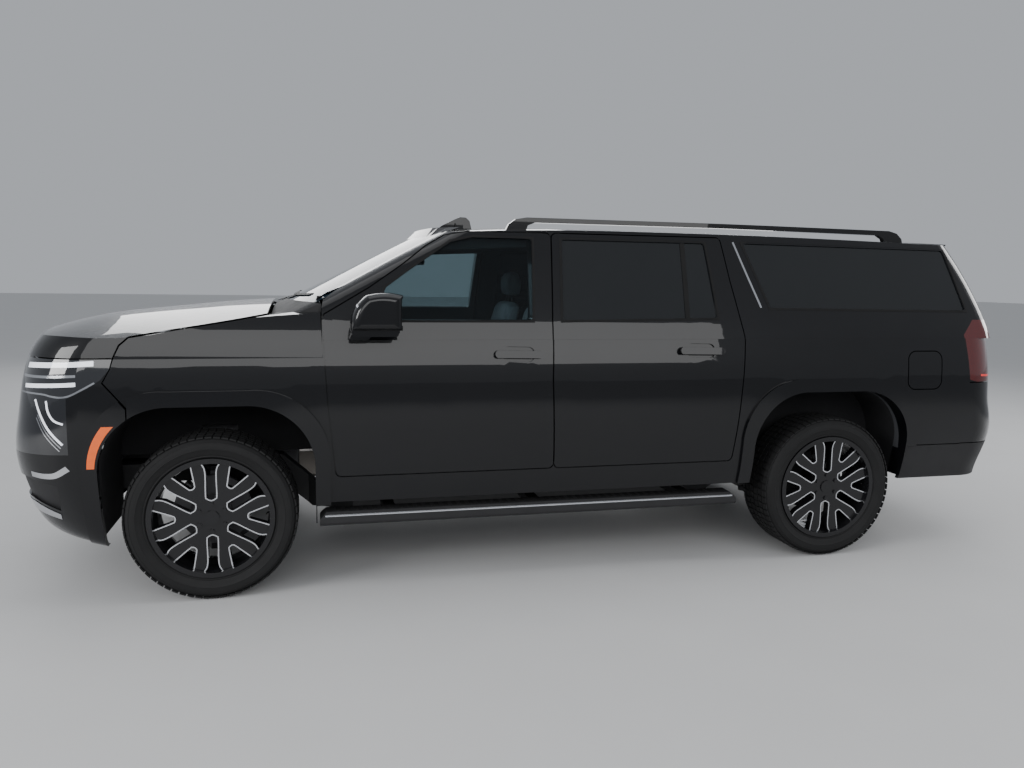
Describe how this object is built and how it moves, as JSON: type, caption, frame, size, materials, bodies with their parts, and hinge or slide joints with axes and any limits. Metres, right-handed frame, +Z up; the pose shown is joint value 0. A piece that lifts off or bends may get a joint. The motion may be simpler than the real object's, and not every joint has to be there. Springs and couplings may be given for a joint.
{
  "type": "suv",
  "caption": "Full-size four-door sport utility vehicle with a long roof, roof rails, running boards and large spoked wheels.",
  "frame": {"origin": "floor under the middle of the vehicle, halfway along its length", "axes": "+X towards the tail, +Y towards the vehicle's right side, +Z up"},
  "size_m": [5.7484, 2.38, 1.966],
  "materials": {
    "paint": "gloss",
    "gloss_trim": "gloss",
    "black_plastic": "matte",
    "glass": "gloss",
    "lamp": "gloss",
    "lamp_red": "gloss",
    "lamp_amber": "gloss",
    "bright_trim": "gloss",
    "wheel_finish": "gloss",
    "rubber": "matte",
    "chassis": "satin",
    "steel": "satin",
    "cast": "matte",
    "upholstery": "satin",
    "cabin_trim": "matte"
  },
  "bodies": {
    "body": {"body_side_left": "paint", "body_side_right": "paint", "roof": "paint", "floor": "cabin_trim", "cowl": "black_plastic", "front_fenders": "paint", "front_bumper": "paint", "grille": "gloss_trim", "headlamps": "lamp", "rear_bumper": "paint", "taillamps": "lamp_red", "windshield": "glass", "quarter_glass": "glass", "running_boards": "black_plastic", "roof_rails": "gloss_trim", "arch_liners": "black_plastic", "frame": "chassis", "front_suspension": "chassis", "rear_suspension": "chassis", "engine": "cast", "exhaust": "steel", "fuel_tank": "chassis", "spare_wheel": "chassis", "front_seats": "upholstery", "middle_seats": "upholstery", "third_row": "upholstery", "dashboard": "cabin_trim", "radiator_support": "chassis", "side_markers": "lamp_amber", "rear_valance": "black_plastic", "skid_strip": "bright_trim", "lower_grille": "black_plastic"},
    "knuckle_left_body": {"knuckle_left": "cast"},
    "front_wheel_left": {"wheel_front_left": "wheel_finish", "tyre_front_left": "rubber"},
    "rear_wheel_left": {"wheel_rear_left": "wheel_finish", "tyre_rear_left": "rubber"},
    "front_door_left_body": {"front_door_left": "paint", "front_door_glass_left": "glass", "mirror_left": "paint"},
    "rear_door_left_body": {"rear_door_left": "paint", "rear_door_glass_left": "glass"},
    "knuckle_right_body": {"knuckle_right": "cast"},
    "front_wheel_right": {"wheel_front_right": "wheel_finish", "tyre_front_right": "rubber"},
    "rear_wheel_right": {"wheel_rear_right": "wheel_finish", "tyre_rear_right": "rubber"},
    "front_door_right_body": {"front_door_right": "paint", "front_door_glass_right": "glass", "mirror_right": "paint"},
    "rear_door_right_body": {"rear_door_right": "paint", "rear_door_glass_right": "glass"},
    "hood_body": {"hood": "paint"},
    "liftgate_body": {"liftgate": "paint", "liftgate_glass": "glass"},
    "fuel_door_body": {"fuel_door": "paint"},
    "steering_wheel_body": {"steering_wheel": "cabin_trim"}
  },
  "joints": [
    {"name": "steer_left", "type": "hinge", "parent": "body", "child": "knuckle_left_body", "pos_m": [-1.876, -0.815, 0.411], "axis": [0, 0, 1], "range_deg": [-33, 33]},
    {"name": "front_wheel_left_spin", "type": "hinge", "parent": "knuckle_left_body", "child": "front_wheel_left", "pos_m": [-1.876, -0.869, 0.411], "axis": [0, 1, 0], "continuous": true},
    {"name": "rear_wheel_left_spin", "type": "hinge", "parent": "body", "child": "rear_wheel_left", "pos_m": [1.53, -0.869, 0.411], "axis": [0, 1, 0], "continuous": true},
    {"name": "front_door_left_swing", "type": "hinge", "parent": "body", "child": "front_door_left_body", "pos_m": [-1.3355, -1.016, 1], "axis": [0, 0, -1], "range_deg": [0, 68]},
    {"name": "rear_door_left_swing", "type": "hinge", "parent": "body", "child": "rear_door_left_body", "pos_m": [-0.158, -1.016, 1], "axis": [0, 0, -1], "range_deg": [0, 68]},
    {"name": "steer_right", "type": "hinge", "parent": "body", "child": "knuckle_right_body", "pos_m": [-1.876, 0.815, 0.411], "axis": [0, 0, 1], "range_deg": [-33, 33]},
    {"name": "front_wheel_right_spin", "type": "hinge", "parent": "knuckle_right_body", "child": "front_wheel_right", "pos_m": [-1.876, 0.869, 0.411], "axis": [0, 1, 0], "continuous": true},
    {"name": "rear_wheel_right_spin", "type": "hinge", "parent": "body", "child": "rear_wheel_right", "pos_m": [1.53, 0.869, 0.411], "axis": [0, 1, 0], "continuous": true},
    {"name": "front_door_right_swing", "type": "hinge", "parent": "body", "child": "front_door_right_body", "pos_m": [-1.3355, 1.016, 1], "axis": [0, 0, 1], "range_deg": [0, 68]},
    {"name": "rear_door_right_swing", "type": "hinge", "parent": "body", "child": "rear_door_right_body", "pos_m": [-0.158, 1.016, 1], "axis": [0, 0, 1], "range_deg": [0, 68]},
    {"name": "hood_lift", "type": "hinge", "parent": "body", "child": "hood_body", "pos_m": [-1.596, 0, 1.457], "axis": [0, 1, 0], "range_deg": [0, 50]},
    {"name": "liftgate_lift", "type": "hinge", "parent": "body", "child": "liftgate_body", "pos_m": [2.333, 0, 1.877], "axis": [0, -1, 0], "range_deg": [0, 82]},
    {"name": "fuel_door_swing", "type": "hinge", "parent": "body", "child": "fuel_door_body", "pos_m": [2.009, -1.0155, 1.094], "axis": [0, 0, -1], "range_deg": [0, 85]},
    {"name": "steering_wheel_turn", "type": "hinge", "parent": "body", "child": "steering_wheel_body", "pos_m": [-0.83, -0.43, 1.18], "axis": [0.9063, 0, 0.4226], "range_deg": [-500, 500]}
  ],
  "couplings": [
    {"joint": "steer_right", "follows": "steer_left", "ratio": 1},
    {"joint": "steering_wheel_turn", "follows": "steer_left", "ratio": 15}
  ]
}
